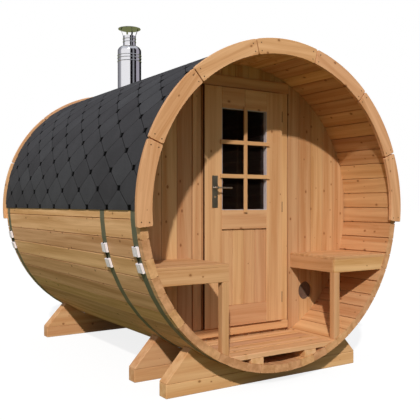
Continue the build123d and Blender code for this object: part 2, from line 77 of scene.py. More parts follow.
def spruce(name, pale, deep, knot="#84522f", spread=0.16, knots=0.55, rough=0.62):
    """Planed softwood: year rings 6 mm apart, soft streaks, knots of up to 21 mm with the
    grain bent round them, and a slightly different tone on every board."""
    made, t = material(name)
    place = add(t, "Attribute", attribute_name="grain").outputs["Vector"]
    tone = add(t, "Attribute", attribute_name="tone").outputs["Fac"]
    across, along = 11.0, 5.5  # places for a knot in each metre
    spaced = add(t, "VectorMath", {0: place, 1: (across, along, 0.0)}, operation="MULTIPLY").outputs[0]
    cell = add(t, "TexVoronoi", {"Vector": spaced, "Scale": 1.0}, voronoi_dimensions="2D")
    heart = add(t, "VectorMath", {0: cell.outputs["Position"], 1: (1 / across, 1 / along, 0.0)},
                operation="MULTIPLY").outputs[0]
    flat = add(t, "VectorMath", {0: place, 1: (1.0, 1.0, 0.0)}, operation="MULTIPLY").outputs[0]
    away = add(t, "VectorMath", {0: flat, 1: heart}, operation="SUBTRACT").outputs[0]
    squeezed = add(t, "VectorMath", {0: away, 1: (1.0, 0.72, 0.0)}, operation="MULTIPLY").outputs[0]
    near = add(t, "VectorMath", {0: squeezed}, operation="LENGTH").outputs["Value"]
    luck = add(t, "SeparateColor", {0: cell.outputs["Color"]}).outputs[0]
    size = add(t, "MapRange", {0: luck, 1: 1.0 - knots, 2: 1.0, 3: 0.0, 4: 0.0105}).outputs[0]
    inner = add(t, "Math", {0: size, 1: 0.55}, operation="MULTIPLY").outputs[0]
    outer = add(t, "Math", {0: size, 1: 1.9}, operation="MULTIPLY").outputs[0]
    core = add(t, "MapRange", {0: near, 1: size, 2: inner, 3: 0.0, 4: 1.0},
               interpolation_type="SMOOTHSTEP").outputs[0]
    halo = add(t, "MapRange", {0: near, 1: outer, 2: inner, 3: 0.0, 4: 1.0},
               interpolation_type="SMOOTHSTEP").outputs[0]
    slow = add(t, "VectorMath", {0: place, 1: (6.0, 0.9, 6.0)}, operation="MULTIPLY").outputs[0]
    drift = add(t, "TexNoise", {"Vector": slow, "Scale": 1.0, "Detail": 2.0}).outputs[0]
    wander = add(t, "Math", {0: drift, 1: 0.05, 2: -0.025}, operation="MULTIPLY_ADD").outputs[0]
    swirl = add(t, "Math", {0: halo, 1: 0.010}, operation="MULTIPLY").outputs[0]
    bend = add(t, "Math", {0: wander, 1: swirl}, operation="ADD").outputs[0]
    shift = add(t, "CombineXYZ", {0: bend, 2: bend}).outputs[0]
    bent = add(t, "VectorMath", {0: place, 1: shift}, operation="ADD").outputs[0]
    rings = add(t, "TexWave", {"Vector": bent, "Scale": 50.0, "Distortion": 1.5, "Detail": 1.0,
                               "Detail Scale": 0.4},
                wave_type="RINGS", rings_direction="Y", wave_profile="SAW").outputs["Fac"]
    thin = add(t, "VectorMath", {0: bent, 1: (90.0, 2.2, 90.0)}, operation="MULTIPLY").outputs[0]
    streak = add(t, "TexNoise", {"Vector": thin, "Scale": 1.0, "Detail": 3.0, "Roughness": 0.6}).outputs[0]
    wide = add(t, "VectorMath", {0: bent, 1: (22.0, 0.7, 22.0)}, operation="MULTIPLY").outputs[0]
    band = add(t, "TexNoise", {"Vector": wide, "Scale": 1.0, "Detail": 1.0}).outputs[0]
    soft = add(t, "MapRange", {0: band, 1: 0.32, 2: 0.68, 3: -0.05, 4: 0.75}).outputs[0]
    fine = add(t, "MapRange", {0: streak, 1: 0.3, 2: 0.72, 3: -0.1, 4: 0.35}).outputs[0]
    line = add(t, "MapRange", {0: rings, 1: 0.4, 2: 1.0, 3: 0.0, 4: 0.16}).outputs[0]
    first = add(t, "Math", {0: soft, 1: fine}, operation="ADD").outputs[0]
    figure = add(t, "Math", {0: first, 1: line}, operation="ADD", use_clamp=True).outputs[0]
    wood = add(t, "Mix", {0: figure, 6: srgb(pale), 7: srgb(deep)}, data_type="RGBA").outputs[2]
    tinge = add(t, "Math", {0: halo, 1: 0.75}, operation="MULTIPLY").outputs[0]
    ringed = add(t, "Mix", {0: tinge, 6: wood, 7: srgb(deep)}, data_type="RGBA").outputs[2]
    dark = add(t, "Math", {0: core, 1: 0.8}, operation="MULTIPLY").outputs[0]
    knotted = add(t, "Mix", {0: dark, 6: ringed, 7: srgb(knot)}, data_type="RGBA").outputs[2]
    bright = add(t, "MapRange", {0: tone, 1: 0.0, 2: 1.0, 3: 1.0 - spread, 4: 1.0 + spread}).outputs[0]
    turn = add(t, "MapRange", {0: tone, 1: 0.0, 2: 1.0, 3: 0.497, 4: 0.508}).outputs[0]
    toned = add(t, "HueSaturation", {"Color": knotted, "Value": bright, "Hue": turn}).outputs[0]
    grip = add(t, "MapRange", {0: figure, 1: 0.0, 2: 1.0, 3: rough - 0.06, 4: rough + 0.1}).outputs[0]
    relief = add(t, "Bump", {"Height": rings, "Strength": 0.12, "Distance": 0.0005}).outputs[0]
    look = add(t, "BsdfPrincipled", {"Base Color": toned, "Roughness": grip, "Normal": relief,
                                     "Specular IOR Level": 0.3})
    finish_material(t, look.outputs[0])
    return made


# The square shaved corners and the dry, warm surface of planed spruce outdoors.
beam_spruce = spruce("spruce_beam", "#deae80", "#ca9061", spread=0.06, knots=0.6)

axis_z = 1.137
front_y = -1.28
back_y = 1.28
stave_count = 57
stave_step = 360 / stave_count
X, Y, Z = Vector((1, 0, 0)), Vector((0, 1, 0)), Vector((0, 0, 1))


def rim(radius, degrees):
    """A point (x, z) on a circle about the barrel's axis."""
    angle = math.radians(degrees)
    return (radius * math.cos(angle), axis_z + radius * math.sin(angle))


def plank(mesh, section, y0, y1, along, across, dice, tone=None):
    """A piece of wood with an (x, z) section between y0 and y1. Its grain has its own
    place in the log, so that no two boards show the same figure."""
    grain = mesh.verts.layers.float_vector.get("grain") or mesh.verts.layers.float_vector.new("grain")
    shade = mesh.verts.layers.float.get("tone") or mesh.verts.layers.float.new("tone")
    count = len(section)
    corners = [mesh.verts.new((x, y, z)) for y in (y0, y1) for x, z in section]
    for i in range(count):
        j = (i + 1) % count
        mesh.faces.new((corners[i], corners[j], corners[count + j], corners[count + i]))
    mesh.faces.new(corners[count - 1::-1])
    mesh.faces.new(corners[count:])
    middle = sum((v.co for v in corners), Vector()) / len(corners)
    shift = Vector((dice.uniform(-0.05, 0.05), dice.uniform(0, 60), dice.uniform(0.02, 0.1)))
    value = dice.random() if tone is None else tone
    depth = across.cross(along)
    for v in corners:
        p = v.co - middle
        v[grain] = Vector((p.dot(across), p.dot(along), p.dot(depth))) + shift
        v[shade] = value
    return corners


def bar(x0, x1, z0, z1):
    """A rectangular (x, z) section."""
    return [(x0, z0), (x1, z0), (x1, z1), (x0, z1)]


def wooden(name, mesh, finish, nodes, body="cabin", edge=0.0015, segments=1):
    """The planks as one object, with eased edges, in place of these nodes of the frame."""
    bmesh.ops.recalc_face_normals(mesh, faces=mesh.faces)
    data = bpy.data.meshes.new(name)
    mesh.to_mesh(data)
    mesh.free()
    made = bpy.data.objects.new(name, data)
    bpy.context.scene.collection.objects.link(made)
    for each in finish if isinstance(finish, list) else [finish]:
        data.materials.append(each)
    if edge:
        eased = made.modifiers.new("eased edges", "BEVEL")
        eased.width = edge
        eased.segments = segments
        eased.limit_method = "ANGLE"
        eased.angle_limit = math.radians(38)
    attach(made, body)
    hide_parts(*nodes)
    return made


cradle_y = (-1.078, -0.662, 1.022)
cradle_half = 0.043
beam_half = 0.788
beam_top = 0.085
block_low, heel_z, tip_z = 0.0865, 0.091, 0.094
dice = random.Random(14)
beams = bmesh.new()
blocks = bmesh.new()
seat_r = 1.0506
slope = math.radians(180 - 47.5)
saddle_steps = 14
tip_x = math.sqrt(seat_r ** 2 - (axis_z - tip_z) ** 2)
# The slope runs up from the beam's end until it meets the barrel.
reach = 0.0
while True:
    peak = (beam_half + reach * math.cos(slope), heel_z + reach * math.sin(slope))
    if math.hypot(peak[0], peak[1] - axis_z) < seat_r:
        break
    reach += 0.0005
end_deg = math.degrees(math.atan2(peak[1] - axis_z, peak[0]))
tip_deg = math.degrees(math.atan2(tip_z - axis_z, tip_x))
turn_deg = (tip_deg - end_deg) / saddle_steps
saddle = [rim(seat_r, end_deg + turn_deg * i) for i in range(saddle_steps + 1)]
for y in cradle_y:
    plank(beams, bar(-beam_half, beam_half, 0, beam_top), y - cradle_half, y + cradle_half, X, Z, dice)
    for side in (-1, 1):
        shape = [(tip_x, block_low), (beam_half, block_low), (beam_half, heel_z)] + saddle
        shape = [(side * x, z) for x, z in shape]
        plank(blocks, shape, y - cradle_half, y + cradle_half, X, Z, dice)
wooden("cradle_beams", beams, beam_spruce, ["cradle_beams"], edge=0.003)
wooden("cradle_blocks", blocks, beam_spruce, ["cradle_blocks"], edge=0.002)

# ---------------------------------------- staves
# The barrel: 57 straight spruce staves, 50 mm thick, each milled with a hollow and a
# round edge and a small bevel, so that a V with a slit in it shows at every joint. They
# run the whole length, and their sawn ends make the ring at the front and back.

# The outer faces: the same spruce drawn paler, a little greyer and yellower than inside, which is painted
# light on the barrel's flank.
stave_outside = spruce("spruce_stave_outside", "#f0bd8d", "#c99361", spread=0.13, knots=0.5)
# The inner faces, warmer and darker than the outer ones.
stave_inside = spruce("spruce_stave_inside", "#d9a778", "#c08555", spread=0.13, knots=0.8)
# Sawn end grain, which soaks up the light and differs from stave to stave.
stave_end = spruce("spruce_end_grain", "#daa577", "#b88457", spread=0.09, knots=0.0, rough=0.8)

barrel_r = 1.05
bore_r = 1.0
groove = 0.004
slit = 0.0017
slit_deep = 0.011


def between(a, b, share):
    """A point part of the way from a to b."""
    return (a[0] + (b[0] - a[0]) * share, a[1] + (b[1] - a[1]) * share)


dice = random.Random(5)
staves = bmesh.new()
flue_y = 0.961
for k in range(stave_count):
    near, far = k * stave_step, (k + 1) * stave_step
    slack = math.degrees(0.00015 / barrel_r)
    near, far = near + slack, far - slack
    shape = []
    for radius, inward, a, b in ((barrel_r, -1, near, far), (bore_r, 1, far, near)):
        p, q = rim(radius, a), rim(radius, b)
        share = groove / math.dist(p, q)
        open_deg = math.degrees(slit / radius) * (1 if b > a else -1)
        foot, lip = radius + inward * slit_deep, radius + inward * groove
        shape += [rim(foot, a), rim(foot, a + open_deg), rim(lip, a + open_deg), between(p, q, share)]
        shape += [between(q, p, share), rim(lip, b - open_deg), rim(foot, b - open_deg), rim(foot, b)]
    turn = math.radians((near + far) / 2)
    across = Vector((-math.sin(turn), 0, math.cos(turn)))
    # Staves on the barrel's underside get a lower tone: painted shade.
    tone_with_painted_shade_below = 0.5 if math.sin(turn) > -0.3 else 0.3
    plank(staves, shape, front_y, back_y, Y, across, dice, tone_with_painted_shade_below + dice.uniform(-0.5, 0.5))
for face in staves.faces:
    middle = face.calc_center_median()
    if abs(face.normal.y) > 0.9 or abs(abs(middle.y) - back_y) < 0.001:
        face.material_index = 2
    elif math.hypot(middle.x, middle.z - axis_z) < 1.015:
        face.material_index = 1
barrel = wooden("barrel_staves", staves, [stave_outside, stave_inside, stave_end],
                [f"barrel_staves_{i:02d}" for i in range(1, 13)], edge=0)


def round_bar(mesh, radius, length, place, segments=64):
    """A closed round bar along its place's own Z axis."""
    bmesh.ops.create_cone(mesh, cap_ends=True, segments=segments, radius1=radius, radius2=radius,
                          depth=length, matrix=place)


def bore(target, radius, length, place):
    """Bores a round hole through a piece with a hidden round bar."""
    shape = bmesh.new()
    round_bar(shape, radius, length, place)
    data = bpy.data.meshes.new("bore")
    shape.to_mesh(data)
    shape.free()
    tool = bpy.data.objects.new("bore", data)
    bpy.context.scene.collection.objects.link(tool)
    hole = target.modifiers.new("hole", "BOOLEAN")
    hole.operation = "DIFFERENCE"
    hole.object = tool
    hole.solver = "EXACT"
    bpy.context.view_layer.update()
    solid = bpy.data.meshes.new_from_object(target.evaluated_get(bpy.context.evaluated_depsgraph_get()))
    solid.name = target.name
    target.modifiers.clear()
    target.data = solid
    bpy.data.objects.remove(tool)


flue_hole = (0.1093, 0.4, Matrix.Translation((0, flue_y, axis_z + 1.0)))
bore(barrel, *flue_hole)

# ---------------------------------------- walls
# The front wall stands 464 mm behind the stave ends and the back wall near the far
# end. Both are tongued and grooved spruce boards, set upright at 116 mm from joint to
# joint, with their edges bevelled and their ends cut to the barrel's inside.

# Fresh planed boards, a touch redder than the staves.
wall_spruce = spruce("spruce_wall_board", "#cda075", "#b67f52", spread=0.09, knots=0.9)

inside = [rim(bore_r - 0.0004, k * stave_step) for k in range(stave_count)]
board_pitch = 0.1165
joint_half = 0.0013
tongue_deep = 0.011
tongue_t = 0.009
tongue_half = 0.012


def sided(side, near, far, z0, z1):
    """A rectangular section between two distances from the middle, on one side of it."""
    return bar(*sorted((side * near, side * far)), z0, z1)


def clip(shape, region):
    """The part of one convex outline that lies inside another."""
    for i, a in enumerate(region):
        b = region[(i + 1) % len(region)]

        def side(p):
            return (b[0] - a[0]) * (p[1] - a[1]) - (b[1] - a[1]) * (p[0] - a[0])
        kept = []
        for j, p in enumerate(shape):
            q = shape[(j + 1) % len(shape)]
            if side(p) >= 0:
                kept.append(p)
            if side(p) * side(q) < 0:
                kept.append(between(p, q, side(p) / (side(p) - side(q))))
        shape = kept
        if len(shape) < 3:
            return []
    return shape


def notched(shape, x, z, radius):
    """One upright board's outline less a round hole: both parts where the hole is wider
    than the board, or one part with a bite out of its edge."""
    low, high = min(p[0] for p in shape), max(p[0] for p in shape)
    if low > x + radius or high < x - radius:
        return [shape]
    reach = [math.acos(max(-1, min(1, (edge - x) / radius))) for edge in (low, high)]
    arc = [reach[0] + (reach[1] - reach[0]) * i / 32 for i in range(33)]
    over = [(x + radius * math.cos(a), z + radius * math.sin(a)) for a in arc]
    under = [(px, 2 * z - pz) for px, pz in over]
    first = next(i for i, p in enumerate(shape) if p[1] > z >= shape[i - 1][1])
    turned = shape[first:] + shape[:first]
    above, below = [p for p in turned if p[1] > z], [p for p in turned if p[1] <= z]
    if low > x - radius and high < x + radius:
        return [over + above, below + under[::-1]]
    if high < x + radius:
        return [under[:0:-1] + over[1:] + above + below]
    return [above + over[:-1] + under[-2::-1] + below]


def boarded(mesh, x0, x1, z0, z1, first, y0, y1, dice, hole=None, face=1):
    """Upright boards that fill an oblong, cut to the barrel's inside. The tongue of each
    shows as a dark line at the bottom of the joint, 11 mm behind the face."""
    edge = first - math.ceil((first - x0) / board_pitch) * board_pitch
    deep = (y0 + tongue_deep, y0 + tongue_deep + tongue_t)
    if face == -1:
        deep = (y1 - tongue_deep - tongue_t, y1 - tongue_deep)
    while edge < x1:
        low, high = max(edge, x0), min(edge + board_pitch, x1)
        if high - low > 0.01:
            shape = clip(bar(low + joint_half, high - joint_half, z0, z1), inside)
            for part in notched(shape, *hole) if hole else [shape]:
                if part:
                    plank(mesh, part, y0, y1, Z, X, dice)
        tongue = clip(bar(max(edge - tongue_half, x0), min(edge + tongue_half, x1), z0, z1), inside)
        if tongue and not (hole and abs(edge - hole[0]) < hole[2] + tongue_half):
            # The tongue gets tone 0.0, the darkest board tone: painted shade in the joint.
            plank(mesh, tongue, *deep, Z, X, dice, 0.0)
        edge += board_pitch


wall_y = (-0.816, -0.771)
back_wall_y = (1.175, 1.22)
wall_low, wall_high = 0.1, 2.2
frame_half = 0.41
beside = 0.009
post_tongue_y = (-0.801, -0.79)
header_top = 2.0472
sill_under = 0.2548
vent_x, vent_z, vent_r = vent = (0.589, 0.513, 0.068)
screen_y = -0.795
dice = random.Random(23)
for name, x0, x1, z0, z1, first, set_back, hole in (
        ("front_wall_left", -1.0, -frame_half - beside, wall_low, wall_high, -frame_half - 0.006, 0.0, None),
        ("front_wall_right", frame_half + beside, 1.0, wall_low, wall_high, frame_half - 0.002, 0.0, vent),
        ("front_wall_over_door", -frame_half, frame_half, header_top, wall_high, -frame_half, 0.0, None),
        ("front_wall_under_door", -frame_half, frame_half, wall_low, sill_under, -frame_half, 0.014, None)):
    boards = bmesh.new()
    boarded(boards, x0, x1, z0, z1, first, wall_y[0] + set_back, wall_y[1], dice, hole)
    if abs(x0 + x1) > 0.1:
        # The tongue that closes the dark joint beside the post, with the darkest board tone as painted
        # shade.
        strip = sided(math.copysign(1, x0 + x1), frame_half, frame_half + 0.02, z0, z1)
        plank(boards, clip(strip, inside), *post_tongue_y, Z, X, dice, 0.0)
    wooden(name, boards, wall_spruce, [name], edge=0.006)
# A fine woven screen against insects closes the vent, 20 mm behind the wall's face. Its
# wires are drawn 8 mm apart, four times as coarse as the real ones, so that they show.
made, t = material("bronze_wire_cloth")
where = add(t, "TexCoord").outputs["Object"]
mesh_scale = 250 / 2 / math.pi
warp = add(t, "TexWave", {"Vector": where, "Scale": mesh_scale}, bands_direction="X").outputs["Fac"]
weft = add(t, "TexWave", {"Vector": where, "Scale": mesh_scale}, bands_direction="Z").outputs["Fac"]
wires = add(t, "Math", {0: warp, 1: weft}, operation="MAXIMUM").outputs[0]
dust = add(t, "TexNoise", {"Vector": where, "Scale": 30.0, "Detail": 3.0}).outputs[0]
shown = add(t, "MapRange", {0: wires, 1: 0.4, 2: 1.0, 3: 0.0, 4: 1.0}).outputs[0]
old = add(t, "Mix", {0: dust, 6: srgb("#866654"), 7: srgb("#6a5243")}, data_type="RGBA").outputs[2]
# Between the wires the cloth is drawn dark brown: painted shade for the dark room behind the vent.
shade = add(t, "Mix", {0: shown, 6: srgb("#3a261b"), 7: old}, data_type="RGBA").outputs[2]
finish_material(t, add(t, "BsdfPrincipled", {"Base Color": shade, "Roughness": 0.7}).outputs[0])
screen = bmesh.new()
lie_back = Matrix.Rotation(math.pi / 2, 4, "X")
round_bar(screen, vent_r - 0.0005, 0.0015, Matrix.Translation((vent_x, screen_y, vent_z)) @ lie_back)
wooden("vent_screen", screen, made, [], edge=0)
boards = bmesh.new()
boarded(boards, -1.0, 1.0, wall_low, wall_high, -0.0582, *back_wall_y, dice, face=-1)
wooden("back_wall", boards, wall_spruce, ["back_wall"], edge=0.005)

# ---------------------------------------- floors
# Two flat bearers on each side lie in the bottom of the barrel, with their front ends
# open to view. Four boards are nailed across them on the porch, and the room has
# boards that run lengthways.

# Floor boards that are walked on, duller than the walls.
floor_spruce = spruce("spruce_floor_board", "#ddab83", "#c48b5a", spread=0.12, knots=0.5)

floor_z = 0.234
floor_under = floor_z - 0.032
porch = (-1.277, -0.8165)
room = (-0.7705, 1.1745)
porch_boards, depth, gap = 4, 0.461, 0.004
room_board = 0.0925
bearer_x = (0.172, 0.27)
bearer_z = (0.05, 0.2016)
dice = random.Random(31)
boards = bmesh.new()
board_w = (depth + gap) / porch_boards - gap
for i in range(porch_boards):
    y0 = porch[0] + i * (board_w + gap)
    plank(boards, clip(bar(-0.6, 0.6, floor_under, floor_z), inside), y0, y0 + board_w, X, Y, dice)
wooden("porch_floor", boards, floor_spruce, ["porch_floor"], edge=0.003)
boards = bmesh.new()
for i in range(-5, 5):
    low, high = i * room_board + 0.0005, (i + 1) * room_board - 0.0005
    shape = clip(bar(low, high, floor_under, floor_z), inside)
    if shape:
        plank(boards, shape, *room, Y, X, dice)
wooden("room_floor", boards, floor_spruce, ["room_floor"], edge=0.002)
bearers = bmesh.new()
for side in (-1, 1):
    shape = clip(sided(side, *bearer_x, *bearer_z), inside)
    for y0, y1 in (porch, room):
        plank(bearers, shape, y0, y1, Y, X, dice, 0.9)
wooden("floor_bearers", bearers, floor_spruce, ["floor_bearers"], edge=0.002)

# ---------------------------------------- door frame
# Two posts with a stop behind, a header board that stands 12 mm proud over them, and
# a threshold board that passes under both posts. All are planed spruce, screwed to
# the wall's boards.

# Straight-grained joinery wood with few knots.
joinery_spruce = spruce("spruce_joinery", "#d7a77a", "#c28a5d", spread=0.07, knots=0.3)

post_in = 0.341
post_z = (0.3132, 1.9708)
stop_x = (0.326, 0.3408)
stop_front = -0.792
header_z, header_front = (1.971, 2.047), -0.828
sill_z, sill_front = (0.255, 0.313), -0.826
dice = random.Random(47)
jambs = bmesh.new()
for side in (-1, 1):
    plank(jambs, sided(side, post_in, frame_half, *post_z), *wall_y, Z, X, dice)
    plank(jambs, sided(side, *stop_x, *post_z), stop_front, wall_y[1], Z, X, dice)
wooden("door_jambs", jambs, joinery_spruce, ["door_jambs"], edge=0.003)
board = bmesh.new()
plank(board, bar(-frame_half, frame_half, *header_z), header_front, wall_y[1], X, Z, dice)
wooden("door_header", board, joinery_spruce, ["door_header"], edge=0.003)
board = bmesh.new()
plank(board, bar(-frame_half, frame_half, *sill_z), sill_front, wall_y[1], X, Z, dice)
wooden("door_sill", board, joinery_spruce, ["door_sill"], edge=0.003)

# ---------------------------------------- door
# The leaf is a joined frame, 48 mm thick, that stands 30 mm proud of its posts. The top
# rail is in two lengths. One pane sits behind a grid of bars, over four tongued boards.

door_y = (-0.846, -0.798)
leaf_half, leaf_low, leaf_high = 0.335, 0.321, 1.965
stile_in, rail_half = 0.1942, 0.1938
low_rail_top, mid_rail_low = 0.463, 0.991
pane_half, pane_low, pane_high = 0.194, 1.123, 1.823
dice = random.Random(53)
leaf = bmesh.new()
for side in (-1, 1):
    plank(leaf, sided(side, stile_in, leaf_half, leaf_low, leaf_high), *door_y, Z, X, dice, 0.55)
for z0, z1 in ((leaf_low, low_rail_top), (mid_rail_low, pane_low)):
    plank(leaf, bar(-rail_half, rail_half, z0, z1), *door_y, X, Z, dice)
for x0, x1 in ((-rail_half, -0.0004), (0.0004, rail_half)):
    plank(leaf, bar(x0, x1, pane_high, leaf_high), *door_y, X, Z, dice)
wooden("door_leaf", leaf, joinery_spruce, ["door_leaf"], body="door", edge=0.002)


def mottled(name, one, other, scale, rough, detail=3.0, shine=0.5):
    """A plain surface in which two close colours meet in soft patches."""
    made, t = material(name)
    where = add(t, "TexCoord").outputs["Object"]
    patch = add(t, "TexNoise", {"Vector": where, "Scale": scale, "Detail": detail}).outputs[0]
    shade = add(t, "Mix", {0: patch, 6: srgb(one), 7: srgb(other)}, data_type="RGBA").outputs[2]
    look = add(t, "BsdfPrincipled", {"Base Color": shade, "Roughness": rough, "Specular IOR Level": shine})
    finish_material(t, look.outputs[0])
    return made


# A dark brown strip on the leaf's closing edge, painted shade that draws the dark line beside the post.
edge_shade_finish = mottled("brown_edge_painted_shade", "#482c1a", "#5a3a24", 70.0, 0.75, shine=0.2)
edge_shade_x, edge_shade_z, edge_shade_y = (-0.3378, -0.3351), (0.3215, 1.9645), (-0.8455, -0.8265)
edge_shade = bmesh.new()
plank(edge_shade, bar(*edge_shade_x, *edge_shade_z), *edge_shade_y, Z, X, dice)
wooden("door_edge_painted_shade", edge_shade, edge_shade_finish, [], body="door", edge=0.0005)
# The panel's four boards, with a tongue in each joint between them that has the darkest board tone as
# painted shade.
panel = bmesh.new()
panel_w = 0.097
panel_z = (0.4632, 0.9908)
panel_y = (-0.8345, -0.8185)
panel_tongue_y = (-0.8265, -0.8215)
for i in range(-2, 2):
    one = bar(i * panel_w + 0.001, (i + 1) * panel_w - 0.001, *panel_z)
    plank(panel, one, *panel_y, Z, X, dice)
for i in (-1, 0, 1):
    tongue = bar(i * panel_w - 0.006, i * panel_w + 0.006, *panel_z)
    plank(panel, tongue, *panel_tongue_y, Z, X, dice, 0.0)
wooden("door_panel", panel, joinery_spruce, ["door_panel"], body="door", edge=0.005)
# One upright glazing bar and two level ones, which overlap the leaf by 18 mm all round.
bars = bmesh.new()
bar_half, overlap = 0.014, 0.018
upright = bar(-bar_half, bar_half, pane_low - overlap, pane_high + overlap)
plank(bars, upright, -0.858, -0.8462, Z, X, dice)
half = pane_half + overlap
for i in (1, 2):
    z = pane_low + (pane_high - pane_low) * i / 3
    plank(bars, bar(-half, half, z - bar_half, z + bar_half), -0.8578, -0.8461, X, Z, dice)
wooden("door_glazing_bars", bars, joinery_spruce, ["door_glazing_bars"],
       body="door", edge=0.002)
# The beads that hold the pane from the room.
beads = bmesh.new()
bead_y = (-0.806, door_y[1])
bead_low, bead_high = 1.1133, 1.8327
for side in (-1, 1):
    plank(beads, sided(side, pane_half, 0.2037, bead_low, bead_high), *bead_y, Z, X, dice)
for z0, z1 in ((bead_low, pane_low), (pane_high, bead_high)):
    plank(beads, bar(-pane_half, pane_half, z0, z1), *bead_y, X, Z, dice)
wooden("door_glazing_beads", beads, joinery_spruce, ["door_glazing_beads"],
       body="door", edge=0.001)

# A pale grey glazing strip lines the opening in front of the pane.
grey_strip = mottled("glazing_strip", "#cfc3c4", "#b3a6a6", 60.0, 0.5, detail=2.0)
strip = bmesh.new()
strip_in, strip_out = 0.191, 0.1935
strip_low, strip_high = 1.1235, 1.8225
strip_y = (-0.845, -0.8125)
for side in (-1, 1):
    plank(strip, sided(side, strip_in, strip_out, strip_low, strip_high), *strip_y, Z, X, dice)
for z0, z1 in ((strip_low, 1.127), (1.820, strip_high)):
    plank(strip, bar(-strip_in, strip_in, z0, z1), *strip_y, X, Z, dice)
wooden("door_glazing_strip", strip, grey_strip, [], body="door", edge=0)

# The pane: float glass, 6 mm, hazed in patches by a thin film of dust, with a brown base colour in its small
# diffuse part: painted light that warms what shows in it.
made, t = material("float_glass")
where = add(t, "TexCoord").outputs["Object"]
film = add(t, "TexNoise", {"Vector": where, "Scale": 9.0, "Detail": 4.0}).outputs[0]
haze = add(t, "MapRange", {0: film, 1: 0.4, 2: 0.75, 3: 0.0, 4: 0.06}).outputs[0]
pane = add(t, "BsdfPrincipled", {"Base Color": srgb("#a08472"), "Roughness": haze, "IOR": 1.45,
                                 "Transmission Weight": 0.985})
finish_material(t, pane.outputs[0])


def dress(node, finish):
    """Gives its material to a piece of the frame that is shown as it is."""
    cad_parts[node].data.materials.clear()
    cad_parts[node].data.materials.append(finish)


dress("door_glass", made)

# ---------------------------------------- door fittings
# A long steel plate on each face of the door holds a bent lever over a key hole, and
# three butt hinges carry the leaf on the right.


def metal(name, colour, rough, speck=0.04, tint="#808080"):
    """A metal with fine wear in its colour and its polish."""
    made, t = material(name)
    where = add(t, "TexCoord").outputs["Object"]
    fine = add(t, "TexNoise", {"Vector": where, "Scale": 140.0, "Detail": 4.0}).outputs[0]
    broad = add(t, "TexNoise", {"Vector": where, "Scale": 11.0, "Detail": 3.0}).outputs[0]
    worn = add(t, "MapRange", {0: broad, 1: 0.35, 2: 0.7, 3: 0.0, 4: 1.0}).outputs[0]
    shade = add(t, "Mix", {0: worn, 6: srgb(colour), 7: srgb(tint)}, data_type="RGBA").outputs[2]
    polish = add(t, "MapRange", {0: fine, 1: 0.3, 2: 0.7, 3: rough - speck, 4: rough + speck}).outputs[0]
    look = add(t, "BsdfPrincipled", {"Base Color": shade, "Metallic": 1.0, "Roughness": polish})
    finish_material(t, look.outputs[0])
    return made


# Dark nickelled steel, with a soft sheen on its flat face.
plate_metal = metal("dark_nickelled_steel", "#a39a8f", 0.42, tint="#8a8278")
# The lever, brighter where hands polish it.
lever_metal = metal("bright_nickelled_steel", "#d6d0ca", 0.3, tint="#c2bcb6")
# The hinges drawn dark brown, a painted shade, so that they read as dark slits beside the leaf.
hinge_painted_shade = mottled("dark_hinge_painted_shade", "#2e1a0e", "#432816", 90.0, 0.7, shine=0.15)
dress("door_handle_plates", plate_metal)
dress("door_jamb_hinges", hinge_painted_shade)
dress("door_leaf_hinges", hinge_painted_shade)
# A dark strip, 5 mm wide, on the post beside each hinge: painted shade in the slit.
hinge_shade_strips = bmesh.new()
hinge_half = 0.038
hinge_shade_x, hinge_shade_y = (0.3503, 0.3555), (-0.8168, -0.8162)
for z in (0.486, 1.143, 1.8):
    plank(hinge_shade_strips, bar(*hinge_shade_x, z - hinge_half, z + hinge_half), *hinge_shade_y, Z, X, dice)
wooden("hinge_painted_shade_strips", hinge_shade_strips, hinge_painted_shade, [], edge=0)
# The lever on each face: a square spindle through the leaf, a round neck and a grip.
handle_x, lever_z, key_z = -0.254, 1.275, 1.215
spindle, neck_r, neck_len = 0.0045, 0.0085, 0.043
grip_r, grip_len, grip_out = 0.0048, 0.123, 0.053
lever, rings = bmesh.new(), bmesh.new()
square = bar(handle_x - spindle, handle_x + spindle, lever_z - spindle, lever_z + spindle)
plank(lever, square, -0.884, -0.760, Y, X, dice)
for neck_y, grip_y in ((-0.869, -0.8862), (-0.775, -0.7578)):
    place = Matrix.Translation((handle_x, neck_y, lever_z)) @ lie_back
    round_bar(lever, neck_r, neck_len, place, 32)
    place = Matrix.Translation((handle_x + grip_out, grip_y, lever_z))
    round_bar(lever, grip_r, grip_len, place @ Matrix.Rotation(math.pi / 2, 4, "Y"), 24)
wooden("door_lever", lever, lever_metal, ["door_lever"], body="lever",
       edge=0.001, segments=2)
# A bright ring round each key hole.
ring_in, ring_out = 0.0062, 0.0088
turn = 2 * math.pi / 32
for y in (-0.8493, -0.7947):
    for i in range(32):
        a, b = turn * i, turn * (i + 1)
        outline = [(handle_x + r * math.cos(u), key_z + r * math.sin(u))
                   for r, u in ((ring_in, a), (ring_out, a), (ring_out, b), (ring_in, b))]
        plank(rings, outline, y - 0.0007, y + 0.0007, Z, X, dice)
bmesh.ops.remove_doubles(rings, verts=rings.verts, dist=0.00001)
wooden("key_hole_rings", rings, lever_metal, [], body="door", edge=0)

# ---------------------------------------- benches
# A seat on each side of the porch: a shelf of spruce cut to the barrel, with a board
# on edge under its front and its inner side and a square post under their corner.

